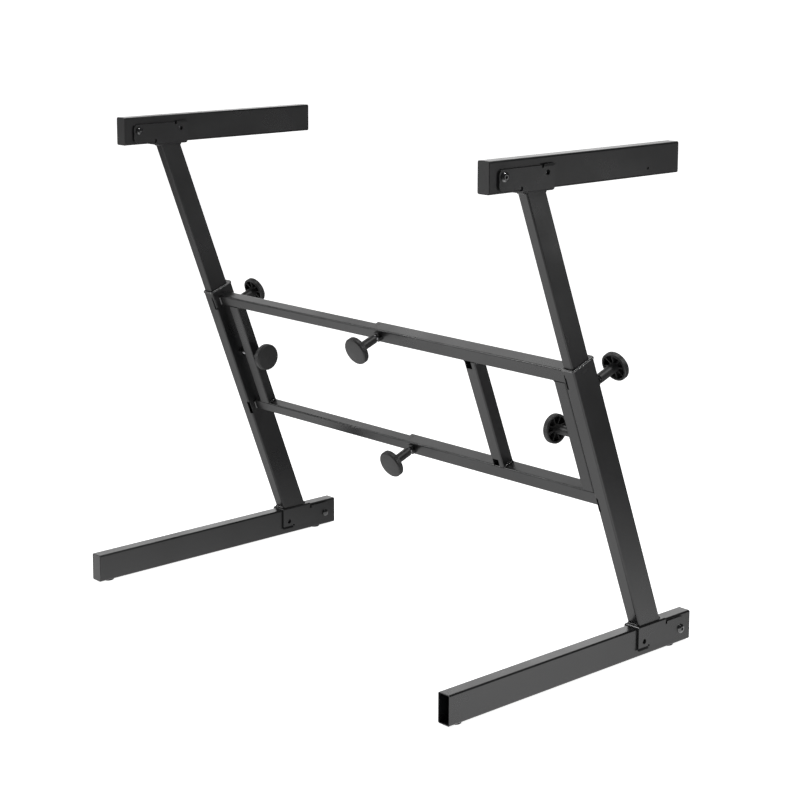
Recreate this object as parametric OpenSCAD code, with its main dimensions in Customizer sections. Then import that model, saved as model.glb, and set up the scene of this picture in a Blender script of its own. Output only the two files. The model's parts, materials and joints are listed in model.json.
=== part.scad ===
// Folding keyboard stand: two Z-shaped sides joined by two telescopic crossbars.
// Origin: middle of the base on the floor. +X right, +Y far side, +Z up.

/* [Overall] */
// Width over the two leg tubes
stand_w = 942; // [720:2:1000]
// Height of the arms' top face above the floor
stand_h = 852; // [650:1:925]
// Lean of the uprights from the vertical, degrees
lean = 20.8; // [18:0.1:23]
// Length of a leg with its end plugs
leg_len = 568.5; // [480:0.5:640]
// Length of an arm with its end caps
arm_len = 430.5; // [360:0.5:480]

/* [Leg, arm and outer upright tube] */
// Tube width
tube_w = 25; // [24:0.5:30]
// Tube height
tube_h = 50; // [48:0.5:56]
// Tube corner radius
tube_r = 3; // [2.5:0.5:5]
// Wall of legs and arms
limb_t = 1.5; // [1:0.1:2]
// Wall of the outer uprights
post_t = 1.2; // [0.8:0.1:1.4]
// Length of an outer upright's near face
post_len = 483.5; // [440:0.5:520]

/* [Inner upright] */
// Width of the inner upright
slide_w = 20; // [17:0.5:20.5]
// Depth of the inner upright
slide_h = 40; // [34:0.5:42]
// Wall of the inner upright
slide_t = 1.5; // [1:0.1:2.5]
// Corner radius of the inner upright
slide_r = 2.6; // [2.6:0.1:4]
// Length of the inner upright
slide_len = 544; // [500:1:560]
// Setback of its near face behind the outer upright's near face
slide_set = 2.2; // [1.8:0.1:3]

/* [Crossbars] */
// Side of the square outer bar
bar_s = 25; // [23:0.5:28]
// Wall of the outer bar
bar_t = 1.2; // [0.8:0.1:1.4]
// Corner radius of the outer bar
bar_r = 2.5; // [1.5:0.5:4]
// Length of the outer bar
bar_len = 466; // [420:1:500]
// Side of the square inner bar
rod_s = 20; // [17:0.5:20.5]
// Wall of the inner bar
rod_t = 1.5; // [1:0.1:2.5]
// Corner radius of the inner bar
rod_r = 2.6; // [2.6:0.1:4]
// Length of the inner bar
rod_len = 592; // [540:1:620]
// Drop of the upper bar's axis below the outer upright's end
bar_drop = 20.5; // [16:0.5:30]
// Distance between the two bars' axes
bar_gap = 229.5; // [180:0.5:260]
// Distance from the strut's axis to the right upright
strut_set = 228.5; // [120:0.5:330]
// Gap between the right post and its upright
post_gap_r = 13.4; // [9:0.1:20]
// Gap between the left post and its upright
post_gap_l = 19; // [9:0.1:24]

/* [Folding bracket] */
// Sheet thickness
sheet_t = 3; // [2:0.1:4]
// Side gap between tube and ear
ear_gap = 0.3; // [0.25:0.05:0.8]
// Distance from pivot to lock hole
lock_span = 92.7; // [88:0.1:110]
// Distance from pivot to the bracket's end
pivot_end = 11; // [9.5:0.5:16]
// Distance from lock hole to the bracket's other end
lock_end = 14.8; // [9:0.1:20]
// Length of the web
web_len = 68.5; // [64:0.5:70]
// Height of the ears from the web's outer face
ear_h = 39.4; // [37:0.1:46]
// Length of the flared lip
lip_len = 24; // [12:0.5:30]
// Reach of the flared lip beyond the ear's edge
lip_drop = 2; // [1:0.1:4]
// Outward flare of the lip
lip_flare = 1.5; // [0.5:0.1:3]
// Pivot bolt diameter
bolt_d = 8; // [6:0.5:10]
// Pivot bolt head diameter
head_d = 16; // [14:0.5:18]
// Pivot bolt head height
head_h = 4; // [3:0.5:6]
// Lock button diameter
button_d = 8; // [6:0.5:9]

/* [Clamp knobs] */
// Knob diameter
knob_d = 49.5; // [44:0.5:56]
// Knob disc thickness
knob_t = 12; // [10:0.5:16]
// Hub diameter
hub_d = 16; // [14:0.5:18]
// Hub length behind the disc
hub_len = 38; // [30:0.5:38.5]
// Stud diameter
stud_d = 10; // [8:0.5:11]
// Number of flutes round the rim
flutes = 60; // [24:2:72]
// Number of ribs in the hollow back
knob_ribs = 8; // [4:1:12]
// Width across the flats of the weld nut
nut_w = 16; // [14.5:0.5:18]
// Height of the weld nut
nut_h = 6; // [4:0.5:8]
// Drop of the back knobs below the outer upright's end
back_drop = 46.6; // [42:0.2:60]
// Drop of the side knobs below the outer upright's end
side_drop = 137; // [120:1:150]
// Distance from the outer bar's end to its knob
bar_knob_set = 20; // [19.5:0.5:30]

/* [Feet, plugs and collars] */
// Rubber foot height
foot_h = 3; // [2:0.5:8]
// Rubber foot diameter
foot_d = 20; // [14:0.5:22]
// Distance of the near foot from the leg's near end
foot_near = 26; // [20:1:60]
// Distance of the far foot from the leg's far end
foot_far = 43.5; // [42:0.5:80]
// Face thickness of plugs and caps
plug_t = 2; // [1:0.1:3]
// Depth of plugs and caps in the tube
plug_len = 14; // [8:0.5:14]
// Height of the collar's rim above the tube
rim_h = 3.5; // [2:0.1:6]
// Overhang of the collar's rim
rim_out = 1.2; // [0.5:0.1:2]
// Length of the collar's and bushing's skirt in the tube
skirt_len = 14; // [12.5:0.1:14.4]

/* [Hidden] */
$fn = 48;

// Clearances
run = 0.05;      // shaft in a running hole
loose = 0.6;     // stud through a plain wall
fit = 0.1;       // plug or skirt in its tube
glide = 0.2;     // sliding tube in its collar
tip_gap = 0.3;   // stud tip to the tube that it clamps
over = 2;        // overrun of cuts

// Reach of each knob's disc from the face that carries its nut
reach_bar = 48.7;
reach_back = 47.8;
reach_side_r = 73;
reach_side_l = 67.5;

// Small sizes
foot_margin = 4.6;    // base web ahead of the upright's near face
top_margin = 12;      // top web beyond the inner upright's far face
leg_stub = 28.5;      // leg beyond its pivot
arm_stub = 29;        // arm beyond its pivot
ear_r = 8;            // rounded ear corners
web_r = 4;            // rounded web corner
bend_r = 3;           // outer bend of the channel
bend_in = 1;          // inner bend of the channel
web_step = 7;         // free part's edge below the web
relief_w = 4;         // relief notches
relief_h = 4;
lip_bend = 2;         // ear edge to the lip's bend line
bead = 3;             // weld bead leg
lock_play = 0.35;     // lock hole round the button
flange_w = 2;         // button's flange beyond its shank
flange_t = 1;
crown = 0.2;          // button proud of the tube
crown_h = 1.4;        // its dome
travel = 3;           // button travel
leaf_t = 0.8;         // spring strip
leaf_w = 9;
leaf_len = 26;        // straight leaves behind the button
leaf_tip = 6;         // leaves beyond the button
socket_d = 5;         // hexagon socket
socket_h = 2.5;
cap_wall = 1.5;       // wall of the bolt's cap nut
cap_cyl_h = 3.2;
cap_edge = 1.6;       // straight edge below the nut's dome
cap_dome = 3;
drain_d = 4;          // small hole in the arm
drain_set = 74.5;
drain_up = 12.3;
tab_w = 12;           // snap tab and its window
tab_h = 4;
tab_drop = 9.5;
tab_gap = 0.2;
win_w = 5.5;          // corner windows in the outer uprights
win_d = 3.5;
win_h = 26;
notch_w = 13.5;       // end windows in the strut
notch_off = 3;
plug_wall = 2;
plug_step = 0.7;      // rounded outer edge of plugs
glide_t = 5;          // glide's head
glide_plug = 15;      // glide's stem in the tube
stem_d = 6;           // foot's stem
stem_h = 4;
foot_edge = 1;
post_depth_l = 20;
hub_gap = 1;          // hub in the post's hole
knob_edge = 2.5;      // rounded front edge
knob_dome = 1.2;
knob_skin = 3.5;      // face over the hollow back
knob_rim = 3;         // rim wall
knob_cham = 0.8;
rib_t = 1.5;
rib_low = 1.5;        // ribs' edge above the rim's edge
flute_in = 0.35;      // depth of a flute
ring_w = 2;           // flange round the hub's root
ring_h = 1.6;
knob_seat = 4;        // stud's bore beyond the disc's back
stud_end = 0.3;
stud_cham = 1;

// Places
cx = stand_w / 2 - tube_w / 2;
xi = cx - tube_w / 2;
z_leg = foot_h + tube_h / 2;
z_web = foot_h + tube_h + sheet_t;
leg_y = -leg_len / 2;
base_y = leg_y + leg_len - leg_stub;
ear_len = lock_span + lock_end;
post_y = base_y - ear_len + foot_margin + (z_web - foot_h) * tan(lean);
u_web = (z_web - foot_h) / cos(lean);
u_top = u_web + post_len;
z_under = stand_h - tube_h - sheet_t;
z_arm = stand_h - tube_h / 2;
function lean_y(z, d) = post_y - (z - foot_h) * tan(lean) + d / cos(lean);
top_y = lean_y(z_under, slide_set + slide_h) + top_margin - ear_len;
u_slide = (z_under - foot_h - slide_set * sin(lean)) / cos(lean) - slide_len;
u_bar = u_top - bar_drop;
u_low = u_bar - bar_gap;
bar_d = (tube_h - bar_s) / 2;
rod_d = (tube_h - rod_s) / 2;
bar_x = xi - bar_len;
post_rx = xi - post_gap_r - bar_s / 2;
post_lx = xi - post_gap_l - bar_s / 2;
strut_x = xi - strut_set;
tab_x = bar_x + tab_drop;
ear_x = tube_w / 2 + ear_gap;
ear_out = ear_x + sheet_t;

black = "#2b2c2e";
plastic = "#3c3d40";
steel = "#8d8f93";

function arc(x, y, r, a, b, n = 6) = [
    for (i = [0:n]) [x + r * cos(a + (b - a) * i / n), y + r * sin(a + (b - a) * i / n)]
];
function dome(r, z, h, a, n = 6) = [for (i = [0:n]) [r * cos(a * i / n), z + h * sin(a * i / n) / sin(a)]];

// Frames
module lean_frame() translate([0, post_y, foot_h]) rotate([lean, 0, 0]) children();
module at_base() translate([cx, base_y, z_leg]) mirror([0, 1, 0]) children();
module at_top() translate([cx, top_y, z_arm]) mirror([0, 0, 1]) children();
module left() mirror([1, 0, 0]) children();
module at_bar(u) lean_frame() translate([bar_x + bar_knob_set, bar_d, u]) rotate([90, 0, 0]) children();
module at_back() lean_frame() translate([cx, tube_h, u_top - back_drop]) rotate([-90, 0, 0]) children();
module at_side() lean_frame() translate([xi, tube_h / 2, u_top - side_drop]) rotate([0, -90, 0]) children();

// Profiles
module rrect(a, b, r) {
    square([a - 2 * r, b], center = true);
    square([a, b - 2 * r], center = true);
    for (i = [-1, 1], j = [-1, 1]) translate([i * (a / 2 - r), j * (b / 2 - r)]) circle(r);
}

module ring(a, b, r, t) {
    difference() {
        rrect(a, b, r);
        rrect(a - 2 * t, b - 2 * t, r - t);
    }
}

module wedge(r, a, b) polygon(concat([[0, 0]], arc(0, 0, r, a, b)));

// A bead along X, from a cross-section in Y and Z
module bead_x(len, a, b) rotate([90, 0, 90]) linear_extrude(len, center = true) wedge(bead, a, b);

// A bead along Y, from a cross-section in X and Z
module bead_y(len, a, b) rotate([90, 0, 0]) linear_extrude(len, center = true) wedge(bead, a, b);

module bead_z(len, a, b) linear_extrude(len, center = true) wedge(bead, a, b);

// Outer upright, right side
module upright_outer() {
    color(black) difference() {
        lean_frame() difference() {
            translate([cx, tube_h / 2, 0]) linear_extrude(u_top) ring(tube_w, tube_h, tube_r, post_t);
            for (u = [u_bar, u_low])
                translate([xi - over, -over, u - win_h / 2]) cube([win_w + over, win_d + over, win_h]);
            translate([cx, (tube_h - tab_w) / 2, u_top - tab_drop - tab_h / 2]) cube([tube_w, tab_w, tab_h]);
            translate([cx, tube_h - 2 * post_t, u_top - back_drop]) rotate([-90, 0, 0])
                cylinder(d = stud_d + 2 * loose, h = 2 * post_t + over);
            translate([xi - over, tube_h / 2, u_top - side_drop]) rotate([0, 90, 0])
                cylinder(d = stud_d + 2 * loose, h = over + 2 * post_t);
        }
        translate([cx - tube_w, base_y - leg_len, z_web - tube_h * 2])
            cube([2 * tube_w, leg_len * 2, tube_h * 2]);
    }
}

// Collar in the outer upright's mouth
module collar() {
    bore_w = slide_w + 2 * glide;
    bore_h = slide_h + 2 * glide;
    bore_d = slide_set - glide;
    in_w = tube_w - 2 * post_t - 2 * fit;
    in_h = tube_h - 2 * post_t - 2 * fit;
    color(plastic) lean_frame() translate([cx, 0, u_top]) {
        difference() {
            union() {
                translate([0, tube_h / 2, 0]) linear_extrude(rim_h / 2)
                    rrect(tube_w + 2 * rim_out, tube_h + 2 * rim_out, tube_r + rim_out);
                translate([0, tube_h / 2, rim_h / 2]) linear_extrude(rim_h / 2)
                    rrect(tube_w + rim_out, tube_h + rim_out, tube_r + rim_out / 2);
                translate([0, tube_h / 2, -skirt_len]) linear_extrude(skirt_len)
                    rrect(in_w, in_h, tube_r - post_t);
                translate([0, (tube_h - tab_w) / 2 + tab_gap, -tab_drop - tab_h / 2 + tab_gap])
                    cube([tube_w / 2, tab_w - 2 * tab_gap, tab_h - 2 * tab_gap]);
            }
            translate([0, bore_d + bore_h / 2, -skirt_len - over])
                linear_extrude(skirt_len + rim_h + 2 * over) rrect(bore_w, bore_h, slide_r + glide);
        }
    }
}

// Folding bracket: a channel whose web stops short of the pivot
module bracket() {
    z_o = tube_h / 2 + sheet_t;
    z_f = z_o - web_step;
    z_e = z_o - ear_h;
    z_b = z_e + lip_bend;
    y_w = ear_len - web_len;
    y_r = ear_len - lip_len;
    difference() {
        union() {
            intersection() {
                rotate([90, 0, 0]) linear_extrude(3 * ear_len, center = true) difference() {
                    rrect(2 * ear_out, 2 * z_o, bend_r);
                    rrect(2 * ear_x, tube_h, bend_in);
                }
                rotate([90, 0, 90]) linear_extrude(3 * ear_out, center = true) polygon(concat(
                    arc(ear_r - pivot_end, z_e + ear_r, ear_r, 180, 270),
                    [[y_r - relief_w, z_e], [y_r - relief_w, z_e + relief_h]],
                    [[y_r, z_e + relief_h], [y_r, z_b], [ear_len, z_b]],
                    arc(ear_len - web_r, z_o - web_r, web_r, 0, 90),
                    [[y_w, z_o], [y_w, z_f - relief_h]],
                    [[y_w - relief_w, z_f - relief_h], [y_w - relief_w, z_f]],
                    arc(ear_r - pivot_end, z_f - ear_r, ear_r, 90, 180)
                ));
            }
            for (s = [0, 1]) mirror([s, 0, 0]) translate([0, ear_len, 0]) rotate([90, 0, 0])
                linear_extrude(lip_len) polygon([
                    [ear_x, z_b], [ear_out, z_b],
                    [ear_out + lip_flare, z_e - lip_drop], [ear_x + lip_flare, z_e - lip_drop]
                ]);
        }
        rotate([0, 90, 0]) cylinder(d = bolt_d + 4 * run, h = 3 * ear_out, center = true);
        translate([0, lock_span, 0]) rotate([0, 90, 0])
            cylinder(d = button_d + 2 * lock_play, h = 3 * ear_out, center = true);
    }
}

module base_bracket() {
    y_n = lean_y(z_web, 0);
    y_f = lean_y(z_web, tube_h);
    bead_len = tube_w - 2 * tube_r;
    color(black) {
        at_base() bracket();
        translate([cx, y_n, z_web]) bead_x(bead_len, 90 + lean, 180);
        translate([cx, y_f, z_web]) bead_x(bead_len, 0, 90 + lean);
    }
}

module top_bracket() {
    y_n = lean_y(z_under, slide_set);
    y_f = lean_y(z_under, slide_set + slide_h);
    bead_len = slide_w - 2 * slide_r;
    color(black) {
        at_top() bracket();
        translate([cx, y_n, z_under]) bead_x(bead_len, 180, 270 + lean);
        translate([cx, y_f, z_under]) bead_x(bead_len, lean - 90, 0);
    }
}

// Pivot bolt with a socket head outside and a cap nut inside
module pivot_bolt() {
    nut_r = head_d / 2 - cap_wall;
    color(steel) rotate([0, 90, 0]) {
        difference() {
            union() {
                translate([0, 0, run - ear_out - cap_cyl_h])
                    cylinder(d = bolt_d, h = 2 * ear_out + cap_cyl_h - run);
                translate([0, 0, ear_out]) rotate_extrude()
                    polygon(concat([[0, 0]], dome(head_d / 2, 0, head_h, 60), [[0, head_h]]));
            }
            translate([0, 0, ear_out + head_h - socket_h])
                cylinder(d = socket_d / cos(30), h = socket_h + over, $fn = 6);
        }
        translate([0, 0, -ear_out]) mirror([0, 0, 1]) rotate_extrude() polygon(concat(
            [[bolt_d / 2 + run, 0], [nut_r, 0]],
            dome(nut_r, cap_edge, cap_dome, 90),
            [[0, cap_cyl_h], [bolt_d / 2 + run, cap_cyl_h]]
        ));
    }
}

// Leg or arm tube, pivot at zero, lock hole towards +Y
module limb(len, stub, flat_a, flat_b) {
    difference() {
        translate([0, flat_a - stub, 0]) rotate([-90, 0, 0]) linear_extrude(len - flat_a - flat_b)
            ring(tube_w, tube_h, tube_r, limb_t);
        rotate([0, 90, 0]) cylinder(d = bolt_d + 2 * run, h = 2 * tube_w, center = true);
        translate([0, lock_span, 0]) rotate([0, 90, 0])
            cylinder(d = button_d + 2 * run, h = 2 * tube_w, center = true);
    }
}

module leg() {
    color(black) difference() {
        at_base() limb(leg_len, leg_stub, plug_t, plug_t);
        for (y = [leg_y + foot_near, leg_y + leg_len - foot_far])
            translate([cx, y, foot_h - over]) cylinder(d = stem_d, h = over + 2 * limb_t);
    }
}

module arm() {
    color(black) difference() {
        at_top() limb(arm_len, arm_stub, plug_t, plug_t);
        translate([cx, top_y - arm_stub + arm_len - drain_set, stand_h - tube_h + drain_up])
            rotate([0, 90, 0]) cylinder(d = drain_d, h = tube_w);
    }
}

// Plug for a tube end; the face looks along +Y
module plug() {
    in_w = tube_w - 2 * limb_t - 2 * fit;
    in_h = tube_h - 2 * limb_t - 2 * fit;
    cell = (in_h - plug_wall) / 3;
    rotate([-90, 0, 0]) {
        linear_extrude(plug_t - plug_step) rrect(tube_w, tube_h, tube_r);
        translate([0, 0, plug_t - plug_step]) linear_extrude(plug_step)
            rrect(tube_w - 2 * plug_step, tube_h - 2 * plug_step, tube_r - plug_step);
        translate([0, 0, -plug_len]) linear_extrude(plug_len) difference() {
            rrect(in_w, in_h, tube_r - limb_t);
            for (i = [-1:1]) translate([0, i * cell])
                square([in_w - 2 * plug_wall, cell - plug_wall], center = true);
        }
    }
}

module far_plug() at_base() translate([0, plug_t - leg_stub, 0]) rotate([0, 0, 180]) plug();
module near_plug() at_base() translate([0, leg_len - leg_stub - plug_t, 0]) plug();

module leg_plugs() color(plastic) {
    far_plug();
    near_plug();
}

module arm_caps() color(plastic) {
    at_top() translate([0, plug_t - arm_stub, 0]) rotate([0, 0, 180]) plug();
    at_top() translate([0, arm_len - arm_stub - plug_t, 0]) plug();
}

module feet() color(plastic)
    for (y = [leg_y + foot_near, leg_y + leg_len - foot_far]) translate([cx, y, 0]) rotate_extrude() polygon([
        [0, 0], [foot_d / 2 - foot_edge, 0], [foot_d / 2, foot_edge], [foot_d / 2, foot_h],
        [stem_d / 2 - fit, foot_h], [stem_d / 2 - fit, foot_h + stem_h], [0, foot_h + stem_h]
    ]);

// Lock button, along +X at the lock hole
module button() color(steel) translate([0, lock_span, 0]) rotate([0, 90, 0]) rotate_extrude() polygon(concat(
    [[0, tube_w / 2 - limb_t - flange_t], [button_d / 2 + flange_w, tube_w / 2 - limb_t - flange_t]],
    [[button_d / 2 + flange_w, tube_w / 2 - limb_t], [button_d / 2, tube_w / 2 - limb_t]],
    dome(button_d / 2, tube_w / 2 + crown - crown_h, crown_h, 90)
));

// Bent strip spring behind the button, resting on the inner wall
module leaf() {
    x0 = limb_t - tube_w / 2;
    x1 = tube_w / 2 - limb_t - flange_t - travel - tip_gap;
    r = (x1 - x0) / 2;
    color(steel) translate([0, lock_span, 0]) linear_extrude(leaf_w, center = true) {
        for (x = [x0, x1 - leaf_t]) translate([x, -leaf_len]) square([leaf_t, leaf_len + leaf_tip]);
        translate([x0 + r, -leaf_len]) intersection() {
            difference() {
                circle(r);
                circle(r - leaf_t);
            }
            translate([-r - over, -r - over]) square([2 * (r + over), r + over]);
        }
    }
}

// Inner upright and its glide, right side
module upright_inner() {
    color(black) difference() {
        lean_frame() translate([cx, slide_set + slide_h / 2, u_slide]) linear_extrude(slide_len + slide_h)
            ring(slide_w, slide_h, slide_r, slide_t);
        translate([cx - tube_w, lean_y(z_under, 0) - leg_len, z_under])
            cube([2 * tube_w, 2 * leg_len, tube_h * 2]);
    }
}

module glide_piece() {
    head_w = tube_w - 2 * post_t - 2 * glide;
    head_d2 = tube_h - 2 * post_t - 2 * glide;
    in_w = slide_w - 2 * slide_t - 2 * fit;
    in_h = slide_h - 2 * slide_t - 2 * fit;
    color(plastic) lean_frame() translate([cx, 0, u_slide]) difference() {
        union() {
            translate([0, tube_h / 2, -glide_t]) linear_extrude(glide_t)
                rrect(head_w, head_d2, tube_r - post_t);
            translate([0, slide_set + slide_h / 2, 0]) linear_extrude(glide_plug)
                rrect(in_w, in_h, slide_r - slide_t);
        }
        translate([0, slide_set + slide_h / 2, -glide_t - over])
            linear_extrude(glide_t + glide_plug + 2 * over)
                square([in_w - 2 * plug_wall, in_h - 2 * plug_wall], center = true);
    }
}

// Outer bar from the right upright to its mouth
module bar_outer(u) {
    color(black) lean_frame() {
        difference() {
            translate([bar_x, tube_h / 2, u]) rotate([90, 0, 90]) linear_extrude(bar_len)
                ring(bar_s, bar_s, bar_r, bar_t);
            for (z = [u + bar_s / 2 - 2 * bar_t, u - bar_s / 2 - over])
                translate([tab_x - tab_h / 2, (tube_h - tab_w) / 2, z])
                    cube([tab_h, tab_w, 2 * bar_t + over]);
            translate([bar_x + bar_knob_set, bar_d - over, u]) rotate([-90, 0, 0])
                cylinder(d = stud_d + 2 * loose, h = over + 2 * bar_t);
        }
        translate([xi, bar_d, u]) bead_z(bar_s - 2 * bar_r, 180, 270);
        translate([xi, bar_d + bar_s, u]) bead_z(bar_s - 2 * bar_r, 90, 180);
    }
}

module bushings() {
    in_s = bar_s - 2 * bar_t - 2 * fit;
    color(plastic) lean_frame() for (u = [u_bar, u_low]) translate([bar_x, tube_h / 2, u]) difference() {
        union() {
            rotate([90, 0, 90]) linear_extrude(skirt_len) rrect(in_s, in_s, bar_r - bar_t);
            translate([tab_drop - tab_h / 2 + tab_gap, -tab_w / 2 + tab_gap, -bar_s / 2])
                cube([tab_h - 2 * tab_gap, tab_w - 2 * tab_gap, bar_s]);
        }
        translate([-over, 0, 0]) rotate([90, 0, 90]) linear_extrude(skirt_len + 2 * over)
            rrect(rod_s + 2 * glide, rod_s + 2 * glide, rod_r + glide);
    }
}

// Inner bar, welded to the left upright
module bar_inner(u) {
    color(black) lean_frame() {
        translate([-xi, tube_h / 2, u]) rotate([90, 0, 90]) linear_extrude(rod_len)
            ring(rod_s, rod_s, rod_r, rod_t);
        translate([-xi, rod_d, u]) bead_z(rod_s - 2 * rod_r, 270, 360);
        translate([-xi, rod_d + rod_s, u]) bead_z(rod_s - 2 * rod_r, 0, 90);
    }
}

module bar_glides() {
    head = bar_s - 2 * bar_t - 2 * glide;
    color(plastic) lean_frame() for (u = [u_bar, u_low])
    translate([rod_len - xi, tube_h / 2, u]) rotate([90, 0, 90]) {
        linear_extrude(glide_t) rrect(head, head, bar_r - bar_t);
        translate([0, 0, -glide_plug]) linear_extrude(glide_plug)
            rrect(rod_s - 2 * rod_t - 2 * fit, rod_s - 2 * rod_t - 2 * fit, rod_r - rod_t);
    }
}

// Beads on both sides of an upright piece between the bars
module end_beads(w, d, u0, u1) {
    for (s = [0, 1]) mirror([s, 0, 0]) {
        translate([w / 2, tube_h / 2, u0]) bead_y(d, 0, 90);
        translate([w / 2, tube_h / 2, u1]) bead_y(d, 270, 360);
    }
}

module strut() {
    u0 = u_low + bar_s / 2;
    u1 = u_bar - bar_s / 2;
    color(black) lean_frame() translate([strut_x, 0, 0]) {
        difference() {
            translate([0, tube_h / 2, u0]) linear_extrude(u1 - u0) ring(bar_s, bar_s, bar_r, bar_t);
            for (z = [u0, u1 - notch_w])
                translate([-notch_w / 2 - notch_off, bar_d - over, z])
                    cube([notch_w, over + 2 * bar_t, notch_w]);
        }
        end_beads(bar_s, bar_s - 2 * bar_r, u0, u1);
    }
}

// Post beside the right upright, with the side knob's holes
module post_right() {
    u0 = u_low + bar_s / 2;
    u1 = u_bar - bar_s / 2;
    color(black) lean_frame() difference() {
        translate([post_rx, 0, 0]) {
            translate([0, tube_h / 2, u0]) linear_extrude(u1 - u0) ring(bar_s, bar_s, bar_r, bar_t);
            end_beads(bar_s, bar_s - 2 * bar_r, u0, u1);
        }
        translate([post_rx, tube_h / 2, u_top - side_drop]) rotate([0, 90, 0])
            cylinder(d = stud_d + 2 * loose, h = bar_s);
        translate([post_rx - bar_s, tube_h / 2, u_top - side_drop]) rotate([0, 90, 0])
            cylinder(d = hub_d + 2 * hub_gap, h = bar_s);
    }
}

module post_left() {
    u0 = u_low + rod_s / 2;
    u1 = u_bar - rod_s / 2;
    color(black) lean_frame() difference() {
        translate([-post_lx, 0, 0]) {
            translate([0, tube_h / 2, u0]) linear_extrude(u1 - u0) ring(bar_s, post_depth_l, bar_r, bar_t);
            end_beads(bar_s, post_depth_l - 2 * bar_r, u0, u1);
        }
        translate([-post_lx - bar_s, tube_h / 2, u_top - side_drop]) rotate([0, 90, 0])
            cylinder(d = stud_d + 2 * loose, h = bar_s);
        translate([-post_lx, tube_h / 2, u_top - side_drop]) rotate([0, 90, 0])
            cylinder(d = hub_d + 2 * hub_gap, h = bar_s);
    }
}

// Clamp hardware, axis along +Z from the face that carries the nut
module nut() difference() {
    cylinder(d = nut_w / cos(30), h = nut_h, $fn = 6);
    translate([0, 0, -over]) cylinder(d = stud_d + 2 * run, h = nut_h + 2 * over);
}

module nuts_r() color(steel) {
    at_bar(u_bar) nut();
    at_bar(u_low) nut();
    at_back() nut();
    at_side() nut();
}

module nuts_l() color(steel) left() {
    at_back() nut();
    at_side() nut();
}

module stud(tip, reach) color(steel) rotate_extrude() polygon([
    [0, -tip], [stud_d / 2 - stud_cham, -tip], [stud_d / 2, stud_cham - tip],
    [stud_d / 2, reach + knob_seat - stud_end], [0, reach + knob_seat - stud_end]
]);

module knob(reach) {
    r = knob_d / 2 - 2 * flute_in;
    wall = r - knob_rim;
    z_d = knob_t - knob_dome;
    z_s = knob_t - knob_skin;
    hub_r = hub_d / 2;
    color(plastic) translate([0, 0, reach]) {
        rotate_extrude() polygon(concat(
            [[stud_d / 2 + run, -hub_len], [hub_r - knob_cham, -hub_len], [hub_r, knob_cham - hub_len]],
            [[hub_r, z_s - ring_h], [hub_r + ring_w, z_s - ring_h], [hub_r + ring_w, z_s]],
            [[wall, z_s], [wall, 0], [r - knob_cham, 0], [r, knob_cham]],
            arc(r - knob_edge, z_d - knob_edge, knob_edge, 0, 90),
            [for (i = [1:4]) [(r - knob_edge) * (1 - i / 4), z_d + knob_dome * (1 - pow(1 - i / 4, 2))]],
            [[0, knob_seat], [stud_d / 2 + run, knob_seat]]
        ));
        translate([0, 0, knob_cham]) linear_extrude(z_d - knob_edge - knob_cham) difference() {
            polygon([
                for (i = [0:2 * flutes - 1]) let (q = knob_d / 2 - (i % 2) * flute_in)
                    [q * cos(180 * i / flutes), q * sin(180 * i / flutes)]
            ]);
            circle(r - knob_rim / 2);
        }
        for (i = [0:knob_ribs - 1]) rotate([0, 0, i * 360 / knob_ribs])
            translate([hub_r - rib_t / 2, -rib_t / 2, rib_low])
                cube([wall - hub_r + rib_t, rib_t, z_s - rib_low]);
    }
}

tip_bar = rod_d - bar_d - tip_gap;
tip_back = tube_h - slide_set - slide_h - tip_gap;
tip_side = (tube_w - slide_w) / 2 - tip_gap;

upright_outer();  // upright_outer_r
collar();  // collar_r
base_bracket();  // base_bracket_r
at_base() pivot_bolt();  // leg_bolt_r
bar_outer(u_bar);  // bar_outer_upper
bar_outer(u_low);  // bar_outer_lower
bushings();  // bar_bushings
strut();
post_right();  // post_r
nuts_r();  // knob_nuts_r
left() upright_outer();  // upright_outer_l
left() collar();  // collar_l
left() base_bracket();  // base_bracket_l
left() at_base() pivot_bolt();  // leg_bolt_l
bar_inner(u_bar);  // bar_inner_upper
bar_inner(u_low);  // bar_inner_lower
bar_glides();
post_left();  // post_l
nuts_l();  // knob_nuts_l
upright_inner();  // upright_inner_r
glide_piece();  // glide_r
top_bracket();  // top_bracket_r
at_top() pivot_bolt();  // arm_bolt_r
left() upright_inner();  // upright_inner_l
left() glide_piece();  // glide_l
left() top_bracket();  // top_bracket_l
left() at_top() pivot_bolt();  // arm_bolt_l
arm();  // arm_r
arm_caps();  // arm_caps_r
at_top() leaf();  // arm_spring_r
at_top() button();  // arm_button_r
left() arm();  // arm_l
left() arm_caps();  // arm_caps_l
left() at_top() leaf();  // arm_spring_l
left() at_top() button();  // arm_button_l
leg();  // leg_r
color(plastic) far_plug();  // leg_plug_r
feet();  // leg_feet_r
at_base() leaf();  // leg_spring_r
at_base() button();  // leg_button_r
left() leg();  // leg_l
left() leg_plugs();  // leg_plugs_l
left() feet();  // leg_feet_l
left() at_base() leaf();  // leg_spring_l
left() at_base() button();  // leg_button_l
at_bar(u_bar) stud(tip_bar, reach_bar);  // stud_bar_upper
at_bar(u_bar) knob(reach_bar);  // knob_bar_upper
at_bar(u_low) stud(tip_bar, reach_bar);  // stud_bar_lower
at_bar(u_low) knob(reach_bar);  // knob_bar_lower
at_back() stud(tip_back, reach_back);  // stud_back_r
at_back() knob(reach_back);  // knob_back_r
left() at_back() stud(tip_back, reach_back);  // stud_back_l
left() at_back() knob(reach_back);  // knob_back_l
at_side() stud(tip_side, reach_side_r);  // stud_side_r
at_side() knob(reach_side_r);  // knob_side_r
left() at_side() stud(tip_side, reach_side_l);  // stud_side_l
left() at_side() knob(reach_side_l);  // knob_side_l
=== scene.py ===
"""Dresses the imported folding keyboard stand: finishes, welds, threads, floor, light and camera."""

import json
import logging
import math
from dataclasses import dataclass, field
from enum import Enum
from typing import Any

import bpy
from mathutils import Matrix, Vector

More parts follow.
